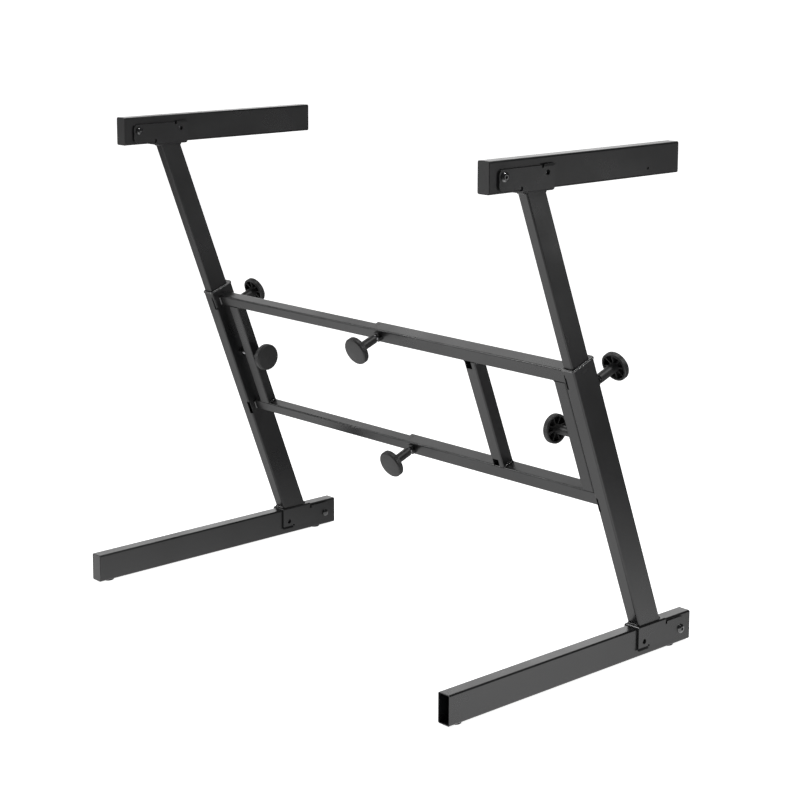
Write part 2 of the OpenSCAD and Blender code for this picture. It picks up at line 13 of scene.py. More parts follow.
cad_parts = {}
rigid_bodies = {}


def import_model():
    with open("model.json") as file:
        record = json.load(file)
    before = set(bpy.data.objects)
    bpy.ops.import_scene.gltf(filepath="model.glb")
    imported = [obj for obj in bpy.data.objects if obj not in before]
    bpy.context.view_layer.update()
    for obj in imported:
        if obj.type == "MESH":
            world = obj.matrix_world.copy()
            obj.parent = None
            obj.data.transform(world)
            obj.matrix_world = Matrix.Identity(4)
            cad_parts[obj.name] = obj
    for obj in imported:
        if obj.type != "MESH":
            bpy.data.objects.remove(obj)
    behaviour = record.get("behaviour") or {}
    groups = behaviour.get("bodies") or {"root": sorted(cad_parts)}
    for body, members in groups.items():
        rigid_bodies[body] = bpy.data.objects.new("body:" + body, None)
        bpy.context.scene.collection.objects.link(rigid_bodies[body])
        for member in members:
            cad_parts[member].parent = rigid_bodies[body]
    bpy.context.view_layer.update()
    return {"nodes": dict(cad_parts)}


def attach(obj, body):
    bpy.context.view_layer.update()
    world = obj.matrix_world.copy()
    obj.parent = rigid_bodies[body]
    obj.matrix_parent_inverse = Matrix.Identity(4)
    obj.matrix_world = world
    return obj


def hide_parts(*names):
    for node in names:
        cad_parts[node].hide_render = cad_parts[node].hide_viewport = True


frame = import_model()

LOG = logging.getLogger("stand")
SEED = 7

Colour = tuple[float, float, float]
Place = tuple[float, float, float]

FLOAT = "NodeSocketFloat"
VECTOR = "NodeSocketVector"
WHOLE = "NodeSocketInt"
PAINT = "NodeSocketMaterial"
GEOMETRY = "NodeSocketGeometry"

MIX_COLOUR_A, MIX_COLOUR_B, MIX_COLOUR_OUT = 6, 7, 2
RANDOM_MIN, RANDOM_MAX, RANDOM_OUT = 2, 3, 1


class Body(Enum):
    """The bodies that carry the scene's welds and lips."""

    RIGHT_FRAME = "right_frame"
    LEFT_FRAME = "left_frame"
    SLIDER_R = "slider_r"
    SLIDER_L = "slider_l"


@dataclass(frozen=True)
class Layout:
    """Sizes of the stand in metres, as in the solids, and the places that follow from them."""

    lean: float = math.radians(20.8)
    stand_w: float = 0.942
    stand_h: float = 0.852
    leg_len: float = 0.5685
    leg_stub: float = 0.0285
    lock_span: float = 0.0927
    lock_end: float = 0.0148
    foot_margin: float = 0.0046
    foot_h: float = 0.003
    sheet_t: float = 0.003
    tube_w: float = 0.025
    tube_h: float = 0.050
    tube_r: float = 0.003
    post_len: float = 0.4835
    rim_h: float = 0.0035
    rim_out: float = 0.0012
    slide_w: float = 0.020
    slide_h: float = 0.040
    slide_set: float = 0.0022
    bar_s: float = 0.025
    rod_s: float = 0.020
    bar_len: float = 0.466
    bar_drop: float = 0.0205
    bar_gap: float = 0.2295
    strut_set: float = 0.2285
    post_gap_r: float = 0.0134
    post_gap_l: float = 0.019
    post_depth_l: float = 0.020
    back_drop: float = 0.0466
    side_drop: float = 0.137
    bar_knob_set: float = 0.020

    @property
    def cx(self) -> float:
        """Middle of a side's tubes, out from the stand's middle."""
        return self.stand_w / 2 - self.tube_w / 2

    @property
    def xi(self) -> float:
        """Inner face of an upright, out from the stand's middle."""
        return self.cx - self.tube_w / 2

    @property
    def z_web(self) -> float:
        """Upper face of the base brackets' webs."""
        return self.foot_h + self.tube_h + self.sheet_t

    @property
    def z_under(self) -> float:
        """Lower face of the top brackets' webs."""
        return self.stand_h - self.tube_h - self.sheet_t

    @property
    def post_y(self) -> float:
        """Y of the uprights' near faces, at the legs' undersides."""
        ear_front = self.leg_len / 2 - self.leg_stub - self.lock_span - self.lock_end
        return ear_front + self.foot_margin + (self.z_web - self.foot_h) * math.tan(self.lean)

    @property
    def u_top(self) -> float:
        """Top of the outer uprights, along the lean."""
        return (self.z_web - self.foot_h) / math.cos(self.lean) + self.post_len

    @property
    def u_bar(self) -> float:
        """Middle of the upper crossbar, along the lean."""
        return self.u_top - self.bar_drop

    @property
    def u_low(self) -> float:
        """Middle of the lower crossbar, along the lean."""
        return self.u_bar - self.bar_gap

    @property
    def bar_x(self) -> float:
        """Free ends of the outer crossbars."""
        return self.xi - self.bar_len

    @property
    def strut_x(self) -> float:
        """Middle of the strut."""
        return self.xi - self.strut_set

    @property
    def post_rx(self) -> float:
        """Middle of the right post."""
        return self.xi - self.post_gap_r - self.bar_s / 2

    @property
    def post_lx(self) -> float:
        """Middle of the left post, out from the stand's middle."""
        return self.xi - self.post_gap_l - self.bar_s / 2

    def lean_y(self, z: float, depth: float) -> float:
        """Y at height z on the leaning plane that lies depth behind the near face."""
        return self.post_y - (z - self.foot_h) * math.tan(self.lean) + depth / math.cos(self.lean)

    def leaned(self, x: float, depth: float, up: float) -> Vector:
        """Turns a place on the leaning sides into the row frame.

        Args:
            x: distance to the right.
            depth: distance behind the uprights' near faces.
            up: distance along the uprights.

        Returns:
            The point in the row frame.
        """
        c, s = math.cos(self.lean), math.sin(self.lean)
        return Vector((x, self.post_y + depth * c - up * s, self.foot_h + depth * s + up * c))


class Tree:
    """Short calls for adding and joining nodes in one node tree."""

    def __init__(self, tree: bpy.types.NodeTree) -> None:
        """Keeps the tree that the calls work on."""
        self.tree = tree

    def add(self, kind: str, inputs: dict[str, Any] | None = None,
            **settings: Any) -> bpy.types.Node:
        """Adds a node.

        Args:
            kind: the node's type name.
            inputs: sockets or plain values for its named inputs.
            settings: attributes that are set on the node first.

        Returns:
            The new node.
        """
        node = self.tree.nodes.new(kind)
        for name, value in settings.items():
            setattr(node, name, value)
        for name, value in (inputs or {}).items():
            self.feed(node.inputs[name], value)
        return node

    def feed(self, socket: bpy.types.NodeSocket, value: Any) -> None:
        """Links a socket to another one, or sets its plain value."""
        if isinstance(value, bpy.types.NodeSocket):
            self.tree.links.new(value, socket)
        else:
            socket.default_value = value

    def math(self, operation: str, a: Any, b: Any = 0.0, c: Any = 0.0,
             clamp: bool = False) -> bpy.types.NodeSocket:
        """Adds a Math node and returns its output."""
        node = self.add("ShaderNodeMath", operation=operation, use_clamp=clamp)
        for socket, value in zip(node.inputs, (a, b, c)):
            self.feed(socket, value)
        return node.outputs[0]

    def ramp(self, value: Any, low: Any, high: Any, to_low: Any = 0.0,
             to_high: Any = 1.0) -> bpy.types.NodeSocket:
        """Adds a clamped Map Range node and returns its output."""
        node = self.add("ShaderNodeMapRange", {
            "Value": value, "From Min": low, "From Max": high, "To Min": to_low, "To Max": to_high,
        }, clamp=True)
        return node.outputs["Result"]

    def noise(self, vector: Any, scale: Any, detail: float = 2.0,
              rough: float = 0.5) -> bpy.types.NodeSocket:
        """Adds a Noise Texture and returns its value."""
        return self.add("ShaderNodeTexNoise", {
            "Vector": vector, "Scale": scale, "Detail": detail, "Roughness": rough,
        }).outputs["Fac"]

    def mix(self, factor: Any, a: Any, b: Any) -> bpy.types.NodeSocket:
        """Adds a colour mix and returns its output."""
        node = self.add("ShaderNodeMix", data_type="RGBA", clamp_factor=True)
        self.feed(node.inputs["Factor"], factor)
        self.feed(node.inputs[MIX_COLOUR_A], a)
        self.feed(node.inputs[MIX_COLOUR_B], b)
        return node.outputs[MIX_COLOUR_OUT]


class Group:
    """A shader node group with named inputs and outputs, built once."""

    def __init__(self, name: str, inputs: dict[str, tuple[str, Any]],
                 outputs: dict[str, str]) -> None:
        """Makes the group's sockets.

        Args:
            name: the group's name.
            inputs: socket kind and default for each named input.
            outputs: socket kind for each named output.
        """
        self.data = bpy.data.node_groups.new(name, "ShaderNodeTree")
        for label, (kind, default) in inputs.items():
            socket = self.data.interface.new_socket(label, in_out="INPUT", socket_type=kind)
            if default is not None:
                socket.default_value = default
        for label, kind in outputs.items():
            self.data.interface.new_socket(label, in_out="OUTPUT", socket_type=kind)
        self.nodes = Tree(self.data)
        self.inputs = self.nodes.add("NodeGroupInput").outputs
        self.outputs = self.nodes.add("NodeGroupOutput").inputs

    def put_out(self, label: str, value: Any) -> None:
        """Feeds one of the group's outputs."""
        self.nodes.feed(self.outputs[label], value)


def make_edge_group() -> bpy.types.NodeTree:
    """Builds the mask of sharp edges, broken up by noise, for edge wear and a painted edge
    highlight.
    """
    group = Group("edge_wear_and_highlight", {
        "Vector": (VECTOR, None), "Radius": (FLOAT, 0.0006), "Break Scale": (FLOAT, 120.0),
    }, {"Mask": FLOAT})
    t = group.nodes
    flat, sharp = 0.99, 0.82
    whole, broken_away = 0.38, 0.62
    bevel = t.add("ShaderNodeBevel", {"Radius": group.inputs["Radius"]}, samples=4)
    normal = t.add("ShaderNodeNewGeometry").outputs["True Normal"]
    dot = t.add("ShaderNodeVectorMath", operation="DOT_PRODUCT")
    t.feed(dot.inputs[0], bevel.outputs[0])
    t.feed(dot.inputs[1], normal)
    bend = t.ramp(dot.outputs["Value"], flat, sharp)
    patches = t.noise(group.inputs["Vector"], group.inputs["Break Scale"], detail=3.0, rough=0.6)
    broken = t.ramp(patches, whole, broken_away)
    group.put_out("Mask", t.math("MULTIPLY", bend, broken))
    return group.data


def make_coat_group() -> bpy.types.NodeTree:
    """Builds the fine orange peel, the slow tone drift and the pinholes of a baked powder coat."""
    group = Group("powder_skin", {
        "Vector": (VECTOR, None), "Peel Scale": (FLOAT, 520.0), "Drift Scale": (FLOAT, 9.0),
        "Speck Scale": (FLOAT, 900.0),
    }, {"Height": FLOAT, "Drift": FLOAT, "Speck": FLOAT})
    t = group.nodes
    vector = group.inputs["Vector"]
    finer, fine_share = 3.1, 0.35
    speck_starts, speck_full = 0.68, 0.8
    peel = t.noise(vector, group.inputs["Peel Scale"], detail=2.0, rough=0.55)
    fine = t.noise(vector, t.math("MULTIPLY", group.inputs["Peel Scale"], finer), detail=1.0)
    specks = t.noise(vector, group.inputs["Speck Scale"], detail=0.0)
    group.put_out("Height", t.math("MULTIPLY_ADD", fine, fine_share, peel))
    group.put_out("Drift", t.noise(vector, group.inputs["Drift Scale"], detail=3.0))
    group.put_out("Speck", t.ramp(specks, speck_starts, speck_full))
    return group.data


def make_dust_group() -> bpy.types.NodeTree:
    """Builds the thin film of dust on faces that look up, from the piece's own normal."""
    group = Group("dust_film", {
        "Vector": (VECTOR, None), "Scale": (FLOAT, 26.0), "Amount": (FLOAT, 0.5),
    }, {"Mask": FLOAT})
    t = group.nodes
    settles_from = 0.35
    clean, dusty = 0.3, 0.75
    normal = t.add("ShaderNodeTexCoord").outputs["Normal"]
    up = t.add("ShaderNodeSeparateXYZ", {"Vector": normal}).outputs["Z"]
    facing = t.ramp(up, settles_from, 1.0)
    patches = t.noise(group.inputs["Vector"], group.inputs["Scale"], detail=5.0, rough=0.62)
    cloud = t.ramp(patches, clean, dusty)
    mask = t.math("MULTIPLY", facing, cloud)
    group.put_out("Mask", t.math("MULTIPLY", mask, group.inputs["Amount"], clamp=True))
    return group.data


def make_grain_group() -> bpy.types.NodeTree:
    """Builds the spark-eroded grain of a moulded surface."""
    group = Group("mould_grain", {"Vector": (VECTOR, None), "Scale": (FLOAT, 1500.0)},
                  {"Height": FLOAT, "Tone": FLOAT})
    t = group.nodes
    vector = group.inputs["Vector"]
    coarser, pit_share = 0.6, 0.6
    cloud_scale = 40.0
    cells = t.add("ShaderNodeTexVoronoi", {"Vector": vector, "Scale": group.inputs["Scale"]})
    grain_scale = t.math("MULTIPLY", group.inputs["Scale"], coarser)
    grain = t.noise(vector, grain_scale, detail=2.0, rough=0.6)
    group.put_out("Height", t.math("MULTIPLY_ADD", cells.outputs["Distance"], pit_share, grain))
    group.put_out("Tone", t.noise(vector, cloud_scale, detail=4.0, rough=0.6))
    return group.data


def make_scuff_group() -> bpy.types.NodeTree:
    """Builds long fine rubbing marks along the piece's own Z axis."""
    group = Group("rub_marks", {"Vector": (VECTOR, None), "Scale": (FLOAT, 300.0)},
                  {"Mask": FLOAT})
    t = group.nodes
    drawn_out = (1.0, 1.0, 0.04)
    line_starts, line_full = 0.55, 0.72
    patch_scale, patch_starts, patch_full = 14.0, 0.45, 0.7
    drawn = t.add("ShaderNodeVectorMath", {"Vector": group.inputs["Vector"]}, operation="MULTIPLY")
    drawn.inputs[1].default_value = drawn_out
    lines = t.noise(drawn.outputs[0], group.inputs["Scale"], detail=3.0, rough=0.7)
    patches = t.ramp(t.noise(group.inputs["Vector"], patch_scale), patch_starts, patch_full)
    group.put_out("Mask", t.math("MULTIPLY", t.ramp(lines, line_starts, line_full), patches))
    return group.data


class Effects:
    """The shared shader groups, each built once."""

    def __init__(self) -> None:
        """Builds all the groups."""
        self.edge = make_edge_group()
        self.coat = make_coat_group()
        self.dust = make_dust_group()
        self.grain = make_grain_group()
        self.scuff = make_scuff_group()


DARK_TONE, LIGHT_TONE = 0.82, 1.22
TONE_LOW, TONE_HIGH = 0.25, 0.75
DUST_COLOUR = (0.32, 0.31, 0.30, 1.0)
DUST_ROUGH = 0.5


@dataclass(frozen=True)
class Finish:
    """What every finish shares; each kind adds its own nodes."""

    name: str
    colour: Colour
    # The colour that sharp edges turn to: partly worn coat, partly a painted edge highlight.
    worn_and_lit_edge: Colour
    roughness: float
    spread: float
    bump: float
    depth: float
    specular: float = 0.5
    metallic: float = 0.0
    coat: float = 0.0
    coat_roughness: float = 0.3
    dust: float = 0.0
    wear_and_highlight: float = 0.3

    def start(self) -> tuple[bpy.types.Material, Tree, bpy.types.Node, bpy.types.NodeSocket]:
        """Makes the material with its shader and its coordinate.

        Returns:
            The material, its tree, the Principled shader and the Object coordinate's socket.
        """
        material = bpy.data.materials.new(self.name)
        material.use_nodes = True
        tree = Tree(material.node_tree)
        shader = material.node_tree.nodes["Principled BSDF"]
        shader.inputs["Specular IOR Level"].default_value = self.specular
        shader.inputs["Metallic"].default_value = self.metallic
        shader.inputs["Coat Weight"].default_value = self.coat
        shader.inputs["Coat Roughness"].default_value = self.coat_roughness
        vector = tree.add("ShaderNodeTexCoord").outputs["Object"]
        return material, tree, shader, vector

    def surface(self, tree: Tree, shader: bpy.types.Node, vector: bpy.types.NodeSocket,
                height: Any, tone: Any, effects: Effects) -> None:
        """Joins tone, edge wear with a painted edge highlight, dust and bump to the shader.

        Args:
            tree: the material's nodes.
            shader: the Principled shader.
            vector: the Object coordinate.
            height: the fine height of the surface.
            tone: a slow value that shifts colour and roughness.
            effects: the shared groups.
        """
        low = tuple(c * DARK_TONE for c in self.colour) + (1.0,)
        high = tuple(c * LIGHT_TONE for c in self.colour) + (1.0,)
        colour = tree.mix(tone, low, high)
        # Sharp edges turn towards the lighter edge colour: partly real wear, partly a painted edge
        # highlight.
        edge = tree.add("ShaderNodeGroup", node_tree=effects.edge)
        tree.feed(edge.inputs["Vector"], vector)
        worn_and_lit_edge = tree.math("MULTIPLY", edge.outputs["Mask"], self.wear_and_highlight)
        colour = tree.mix(worn_and_lit_edge, colour, self.worn_and_lit_edge + (1.0,))
        smoothest, roughest = self.roughness - self.spread, self.roughness + self.spread
        rough = tree.ramp(tone, TONE_LOW, TONE_HIGH, smoothest, roughest)
        if self.dust:
            film = tree.add("ShaderNodeGroup", node_tree=effects.dust)
            tree.feed(film.inputs["Vector"], vector)
            film.inputs["Amount"].default_value = self.dust
            colour = tree.mix(film.outputs["Mask"], colour, DUST_COLOUR)
            rough = tree.math("MULTIPLY_ADD", film.outputs["Mask"], DUST_ROUGH, rough)
        tree.feed(shader.inputs["Base Color"], colour)
        tree.feed(shader.inputs["Roughness"], rough)
        bump = tree.add("ShaderNodeBump", {
            "Strength": self.bump, "Distance": self.depth, "Height": height,
        })
        tree.feed(shader.inputs["Normal"], bump.outputs[0])


@dataclass(frozen=True)
class PowderCoat(Finish):
    """Baked satin powder coat on steel."""

    peel: float = 520.0
    speck_share: float = 0.35

    def build(self, effects: Effects) -> bpy.types.Material:
        """Makes the material from the shared groups."""
        material, tree, shader, vector = self.start()
        skin = tree.add("ShaderNodeGroup", node_tree=effects.coat)
        tree.feed(skin.inputs["Vector"], vector)
        skin.inputs["Peel Scale"].default_value = self.peel
        tone = tree.math("MULTIPLY_ADD", skin.outputs["Speck"], self.speck_share,
                         skin.outputs["Drift"], clamp=True)
        self.surface(tree, shader, vector, skin.outputs["Height"], tone, effects)
        return material


@dataclass(frozen=True)
class Moulded(Finish):
    """Moulded plastic or rubber with a grained skin."""

    grain: float = 1500.0

    def build(self, effects: Effects) -> bpy.types.Material:
        """Makes the material from the shared groups."""
        material, tree, shader, vector = self.start()
        skin = tree.add("ShaderNodeGroup", node_tree=effects.grain)
        tree.feed(skin.inputs["Vector"], vector)
        skin.inputs["Scale"].default_value = self.grain
        self.surface(tree, shader, vector, skin.outputs["Height"], skin.outputs["Tone"], effects)
        return material


@dataclass(frozen=True)
class Plated(Finish):
    """Plated or blackened steel with rubbing marks."""

    marks: float = 300.0
    mark_share: float = 0.5
    cloud_scale: float = 90.0

    def build(self, effects: Effects) -> bpy.types.Material:
        """Makes the material from the shared groups."""
        material, tree, shader, vector = self.start()
        rubbed = tree.add("ShaderNodeGroup", node_tree=effects.scuff)
        tree.feed(rubbed.inputs["Vector"], vector)
        rubbed.inputs["Scale"].default_value = self.marks
        cloud = tree.noise(vector, self.cloud_scale, detail=4.0, rough=0.6)
        tone = tree.math("MULTIPLY_ADD", rubbed.outputs["Mask"], self.mark_share, cloud,
                         clamp=True)
        self.surface(tree, shader, vector, tone, tone, effects)
        return material


TUBE = PowderCoat(
    name="black_powder_coat",
    colour=(0.009, 0.009, 0.0095), worn_and_lit_edge=(0.07, 0.07, 0.07), roughness=0.32, spread=0.09,
    bump=0.18, depth=0.00008, dust=0.03, wear_and_highlight=0.35,
)
SHEET = PowderCoat(
    name="black_coated_sheet",
    colour=(0.010, 0.010, 0.0105), worn_and_lit_edge=(0.09, 0.09, 0.09), roughness=0.30, spread=0.08,
    bump=0.2, depth=0.00008, dust=0.03, wear_and_highlight=0.5, peel=430.0,
)
SLIDE = PowderCoat(
    name="black_slide_tube",
    colour=(0.008, 0.008, 0.0085), worn_and_lit_edge=(0.07, 0.07, 0.07), roughness=0.30, spread=0.09,
    bump=0.15, depth=0.00006, dust=0.02, wear_and_highlight=0.35, peel=600.0,
)
WELD = PowderCoat(
    name="coated_weld",
    colour=(0.010, 0.010, 0.0105), worn_and_lit_edge=(0.09, 0.09, 0.09), roughness=0.20, spread=0.05,
    bump=0.25, depth=0.0001, specular=0.9, wear_and_highlight=0.3, peel=380.0,
)
KNOB = Moulded(
    name="knob_plastic",
    colour=(0.016, 0.016, 0.0164), worn_and_lit_edge=(0.07, 0.07, 0.07), roughness=0.50, spread=0.06,
    bump=0.25, depth=0.00006, dust=0.06, wear_and_highlight=0.4,
)
CAP = Moulded(
    name="cap_plastic",
    colour=(0.014, 0.014, 0.0145), worn_and_lit_edge=(0.07, 0.07, 0.07), roughness=0.38, spread=0.05,
    bump=0.2, depth=0.00005, dust=0.04, wear_and_highlight=0.4, grain=1900.0,
)
# The lips' plastic is painted lighter than the collar's own plastic: a painted highlight along the
# rim's two lines; its gloss is real.
LIP_PAINTED_HIGHLIGHT = Moulded(
    name="lip_plastic_painted_highlight",
    colour=(0.035, 0.035, 0.036), worn_and_lit_edge=(0.06, 0.06, 0.06), roughness=0.34, spread=0.03,
    bump=0.02, depth=0.00001, specular=1.0, coat=1.0, coat_roughness=0.30, wear_and_highlight=0.1, grain=900.0,
)
FOOT = Moulded(
    name="foot_rubber",
    colour=(0.014, 0.014, 0.014), worn_and_lit_edge=(0.04, 0.04, 0.04), roughness=0.75, spread=0.06,
    bump=0.4, depth=0.0001, specular=0.3, wear_and_highlight=0.2, grain=900.0,
)
OXIDE = Plated(
    name="black_steel",
    colour=(0.016, 0.016, 0.017), worn_and_lit_edge=(0.12, 0.12, 0.12), roughness=0.18, spread=0.05,
    bump=0.10, depth=0.00003, specular=0.9, coat=0.6, coat_roughness=0.10, wear_and_highlight=0.5,
)
ZINC = Plated(
    name="zinc_steel",
    colour=(0.26, 0.26, 0.27), worn_and_lit_edge=(0.60, 0.60, 0.60), roughness=0.30, spread=0.08,
    bump=0.15, depth=0.00003, metallic=1.0, wear_and_highlight=0.4,
)

FINISHES: tuple[Finish, ...] = (TUBE, SHEET, SLIDE, WELD, KNOB, CAP, LIP_PAINTED_HIGHLIGHT, FOOT, OXIDE, ZINC)


class Paintbox:
    """All the finished materials, by finish."""

    def __init__(self) -> None:
        """Builds every finish once."""
        effects = Effects()
        self.materials = {finish.name: finish.build(effects) for finish in FINISHES}

    def of(self, finish: Finish) -> bpy.types.Material:
        """The material of a finish."""
        return self.materials[finish.name]

    def dress(self, node: str, finish: Finish) -> None:
        """Gives a CAD node's object the finish in every material slot."""
        piece = frame["nodes"][node]
        if not piece.material_slots:
            piece.data.materials.append(self.of(finish))
        for slot in piece.material_slots:
            slot.material = self.of(finish)


def new_object(name: str, mesh: bpy.types.Mesh) -> bpy.types.Object:
    """Links a new object with this mesh to the scene."""
    made = bpy.data.objects.new(name, mesh)
    bpy.context.scene.collection.objects.link(made)
    return made


def smooth(piece: bpy.types.Object) -> None:
    """Shades every face of a piece smoothly."""
    for face in piece.data.polygons:
        face.use_smooth = True


def ride(piece: bpy.types.Object, body: str) -> None:
    """Makes a finished piece ride on a body and logs it."""
    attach(piece, body)
    LOG.info("%s rides on %s: %d faces", piece.name, body, len(piece.data.polygons))


class PathTree:
    """A Geometry Nodes tree that works on a mesh of plain edges."""

    def __init__(self, name: str, inputs: dict[str, tuple[str, Any]]) -> None:
        """Makes the tree's sockets.

        Args:
            name: the tree's name.
            inputs: socket kind and default for each named input.
        """
        self.data = bpy.data.node_groups.new(name, "GeometryNodeTree")
        self.data.interface.new_socket("Geometry", in_out="INPUT", socket_type=GEOMETRY)
        self.ids: dict[str, str] = {}
        for label, (kind, default) in inputs.items():
            socket = self.data.interface.new_socket(label, in_out="INPUT", socket_type=kind)
            if default is not None:
                socket.default_value = default
            self.ids[label] = socket.identifier
        self.data.interface.new_socket("Geometry", in_out="OUTPUT", socket_type=GEOMETRY)
        self.nodes = Tree(self.data)
        self.inputs = self.nodes.add("NodeGroupInput").outputs
        self.output = self.nodes.add("NodeGroupOutput").inputs["Geometry"]

    def close(self, geometry: bpy.types.NodeSocket) -> None:
        """Ends the tree in Realize Instances and Set Material."""
        real = self.nodes.add("GeometryNodeRealizeInstances", {"Geometry": geometry})
        painted = self.nodes.add("GeometryNodeSetMaterial", {
            "Geometry": real.outputs[0], "Material": self.inputs["Material"],
        })
        self.nodes.feed(self.output, painted.outputs[0])

    def run(self, name: str, mesh: bpy.types.Mesh, values: dict[str, Any]) -> bpy.types.Object:
        """Runs the tree on a mesh and keeps the result as a plain object.

        Args:
            name: the new object's name.
            mesh: the mesh of edges that the tree follows.
            values: the named inputs' values.

        Returns:
            The finished object, with no modifier left.
        """
        source = new_object(name + "_path", mesh)
        modifier = source.modifiers.new("nodes", "NODES")
        modifier.node_group = self.data
        for label, value in values.items():
            modifier[self.ids[label]] = value
        graph = bpy.context.evaluated_depsgraph_get()
        result = bpy.data.meshes.new_from_object(source.evaluated_get(graph))
        bpy.data.objects.remove(source)
        result.name = name
        result.materials.clear()
        result.materials.append(values["Material"])
        result.polygons.foreach_set("material_index", [0] * len(result.polygons))
        return new_object(name, result)


def make_bead_tree() -> PathTree:
    """Builds the tree that sweeps a bead along each edge path: a rippled weld or a smooth lip."""
    tree = PathTree("bead", {
        "Radius": (FLOAT, 0.0022), "Ripple Pitch": (FLOAT, 0.0017), "Ripple Depth": (FLOAT, 0.12),
        "Step": (FLOAT, 0.0004), "Uneven": (FLOAT, 0.03), "Sides": (WHOLE, 14),
        "Seed": (WHOLE, SEED), "Material": (PAINT, None),
    })
    t, source = tree.nodes, tree.inputs
    curve = t.add("GeometryNodeMeshToCurve", {"Mesh": source["Geometry"]})
    fine = t.add("GeometryNodeResampleCurve", {
        "Curve": curve.outputs[0], "Length": source["Step"],
    }, mode="LENGTH")
    along = t.add("GeometryNodeSplineParameter").outputs["Length"]
    phase = t.math("FRACT", t.math("DIVIDE", along, source["Ripple Pitch"]))
    wave = t.math("MULTIPLY", t.math("SUBTRACT", phase, 0.5), source["Ripple Depth"])
    jitter = t.add("FunctionNodeRandomValue", {"Seed": source["Seed"]}, data_type="FLOAT")
    jitter.inputs[RANDOM_MIN].default_value = -1.0
    jitter.inputs[RANDOM_MAX].default_value = 1.0
    rippled = t.math("ADD", wave, 1.0)
    uneven = t.math("MULTIPLY_ADD", jitter.outputs[RANDOM_OUT], source["Uneven"], rippled)
    scaled = t.math("MULTIPLY", uneven, source["Radius"])
    circle = t.add("GeometryNodeCurvePrimitiveCircle", {
        "Resolution": source["Sides"], "Radius": 1.0,
    })
    swept = t.add("GeometryNodeCurveToMesh", {
        "Curve": fine.outputs[0], "Profile Curve": circle.outputs[0], "Scale": scaled,
        "Fill Caps": True,
    })
    tree.close(swept.outputs[0])
    return tree


def make_thread_tree() -> PathTree:
    """Builds the tree that cuts a pointed thread round a stud that stands along Z."""
    tree = PathTree("stud_thread", {
        "Radius": (FLOAT, 0.005), "Length": (FLOAT, 0.06), "Pitch": (FLOAT, 0.0015),
        "Depth": (FLOAT, 0.0008), "Chamfer": (FLOAT, 0.001), "End Share": (FLOAT, 0.78),
        "Rows": (WHOLE, 200), "Sides": (WHOLE, 20), "Material": (PAINT, None),
    })
    t, source = tree.nodes, tree.inputs
    rod = t.add("GeometryNodeMeshCylinder", {
        "Vertices": source["Sides"], "Side Segments": source["Rows"], "Radius": source["Radius"],
        "Depth": source["Length"],
    })
    position = t.add("GeometryNodeInputPosition").outputs[0]
    place = t.add("ShaderNodeSeparateXYZ", {"Vector": position}).outputs
    turn = t.math("DIVIDE", t.math("ARCTAN2", place["Y"], place["X"]), math.tau)
    turns_up = t.math("DIVIDE", place["Z"], source["Pitch"])
    phase = t.math("FRACT", t.math("SUBTRACT", turns_up, turn))
    flank = t.math("ABSOLUTE", t.math("MULTIPLY_ADD", phase, 2.0, -1.0))
    groove = t.math("DIVIDE", t.math("MULTIPLY", flank, source["Depth"]), source["Radius"])
    half = t.math("MULTIPLY", source["Length"], 0.5)
    to_end = t.math("SUBTRACT", half, t.math("ABSOLUTE", place["Z"]))
    chamfer = t.ramp(to_end, 0.0, source["Chamfer"], source["End Share"], 1.0)
    size = t.math("MINIMUM", t.math("SUBTRACT", 1.0, groove), chamfer)
    moved = t.add("ShaderNodeCombineXYZ", {
        "X": t.math("MULTIPLY", place["X"], size), "Y": t.math("MULTIPLY", place["Y"], size),
        "Z": place["Z"],
    })
    cut = t.add("GeometryNodeSetPosition", {
        "Geometry": rod.outputs["Mesh"], "Position": moved.outputs[0],
    })
    tree.close(cut.outputs[0])
    return tree


def path_mesh(name: str, paths: list[list[Vector]]) -> bpy.types.Mesh:
    """Makes a mesh of plain edge paths.

    Args:
        name: the mesh's name.
        paths: the points of each open path.

    Returns:
        The mesh, with no faces.
    """
    points: list[Vector] = []
    edges: list[tuple[int, int]] = []
    for path in paths:
        first = len(points)
        points.extend(path)
        edges.extend((first + i, first + i + 1) for i in range(len(path) - 1))
    mesh = bpy.data.meshes.new(name)
    mesh.from_pydata(points, edges, [])
    return mesh


@dataclass(frozen=True)
class Pool:
    """One pool of light on the studio floor, as the satin coat mirrors it."""

    place: Place
    reach: float
    glow: float


POOLS: tuple[Pool, ...] = (
    Pool((0.95, -0.05, 0.0), 1.0, 2.2),
    Pool((-0.6, -0.6, 0.0), 1.3, 1.6),
    Pool((0.0, -0.3, 0.0), 1.0, 0.4),
    Pool((-2.6, -3.4, 0.0), 2.2, 5.0),
    Pool((4.2, 3.5, 0.0), 2.5, 2.6),
)


@dataclass(frozen=True)
class SkyPatch:
    """One soft patch of sky: a unit vector to its middle, two cosines and its strength."""

    aim: Place
    edge: float
    full: float
    glow: float


SKY: tuple[SkyPatch, ...] = (
    SkyPatch((-0.50, -0.68, 0.53), 0.80, 0.95, 4.5),
    SkyPatch((-0.68, 0.60, 0.42), 0.82, 0.97, 34.0),
    SkyPatch((0.0, 0.0, 1.0), 0.3, 1.0, 0.9),
)


@dataclass(frozen=True)
class Lamp:
    """One square soft light, with its side in metres and its power in watts."""

    name: str
    place: Place
    aim: Place
    size: float
    power: float


LAMPS: tuple[Lamp, ...] = (
    Lamp("key", (-2.6, -2.4, 2.6), (0.0, 0.0, 0.4), 1.2, 60.0),
    Lamp("spark", (1.5, 0.7, 2.8), (0.2, 0.0, 0.5), 0.33, 32.0),
)


